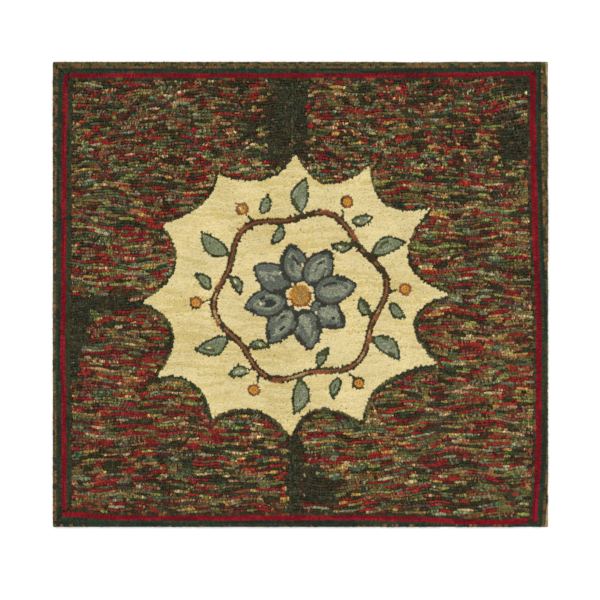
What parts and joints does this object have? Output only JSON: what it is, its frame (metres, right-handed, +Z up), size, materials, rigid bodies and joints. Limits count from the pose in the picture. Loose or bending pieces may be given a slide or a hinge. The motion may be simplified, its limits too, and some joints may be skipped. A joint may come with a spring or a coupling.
{
  "type": "hooked rug",
  "caption": "Flat, almost square hooked wool rug with a striped ground, a dark edge and a scalloped medallion, bound with cotton tape.",
  "frame": {"origin": "under the middle of the rug, on the surface it lies on", "axes": "+X along the long side, to the right as the medallion is seen; +Y towards the top edge; +Z up, out of the pile"},
  "size_m": [0.9201, 0.864, 0.0098],
  "materials": {
    "wool_pile": "matte",
    "cotton_tape": "matte"
  },
  "bodies": {
    "root": {"hooked_sheet": "wool_pile", "binding_top": "cotton_tape", "binding_bottom": "cotton_tape", "binding_left": "cotton_tape", "binding_right": "cotton_tape"}
  },
  "joints": []
}
